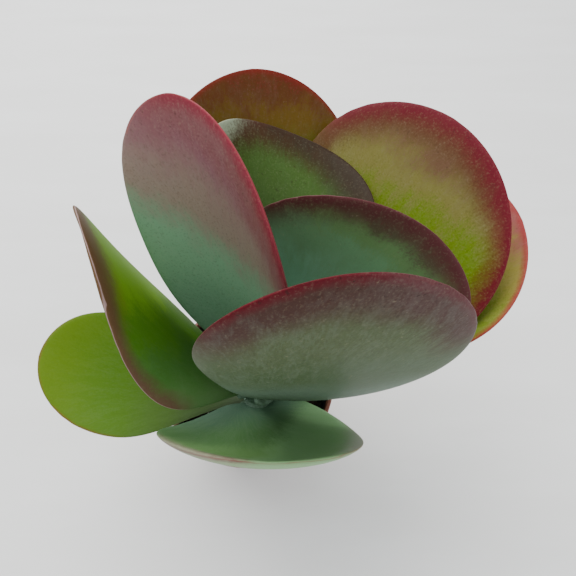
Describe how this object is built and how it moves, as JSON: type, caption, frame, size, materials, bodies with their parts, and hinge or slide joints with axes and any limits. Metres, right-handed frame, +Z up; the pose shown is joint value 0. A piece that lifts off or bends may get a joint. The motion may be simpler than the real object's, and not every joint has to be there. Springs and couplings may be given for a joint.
{
  "type": "potted succulent",
  "caption": "Paddle plant: broad flat succulent leaves in crossed pairs on a short stem, growing in a small round tapered terracotta-coloured pot filled with soil.",
  "frame": {"origin": "centre of the pot's flat base", "axes": "+Z up along the pot's axis; the picture is taken from the -Y side, looking steeply down"},
  "size_m": [0.2071, 0.1578, 0.2249],
  "materials": {
    "pot": "matte terracotta-coloured plastic",
    "soil": "loose dark potting mix",
    "stem": "fleshy stem with a pale bloom",
    "leaf_1_left": "fleshy leaf skin, satin, with a pale bloom",
    "leaf_1_right": "fleshy leaf skin, satin, with a pale bloom",
    "leaf_2_front": "fleshy leaf skin, satin, with a pale bloom",
    "leaf_2_back": "fleshy leaf skin, satin, with a pale bloom",
    "leaf_3_left": "fleshy leaf skin, satin, with a pale bloom",
    "leaf_3_right": "fleshy leaf skin, satin, with a pale bloom",
    "leaf_4_front": "fleshy leaf skin, satin, with a pale bloom",
    "leaf_4_back": "fleshy leaf skin, satin, with a pale bloom",
    "leaf_5_left": "fleshy leaf skin, satin, with a pale bloom",
    "leaf_5_right": "fleshy leaf skin, satin, with a pale bloom",
    "bud_front": "fleshy leaf skin, satin, with a pale bloom",
    "bud_back": "fleshy leaf skin, satin, with a pale bloom"
  },
  "bodies": {
    "root": {"pot": "pot", "soil": "soil", "stem": "stem", "leaf_1_left": "leaf_1_left", "leaf_1_right": "leaf_1_right", "leaf_2_front": "leaf_2_front", "leaf_2_back": "leaf_2_back", "leaf_3_left": "leaf_3_left", "leaf_3_right": "leaf_3_right", "leaf_4_front": "leaf_4_front", "leaf_4_back": "leaf_4_back", "leaf_5_left": "leaf_5_left", "leaf_5_right": "leaf_5_right", "bud_front": "bud_front", "bud_back": "bud_back"}
  },
  "joints": []
}
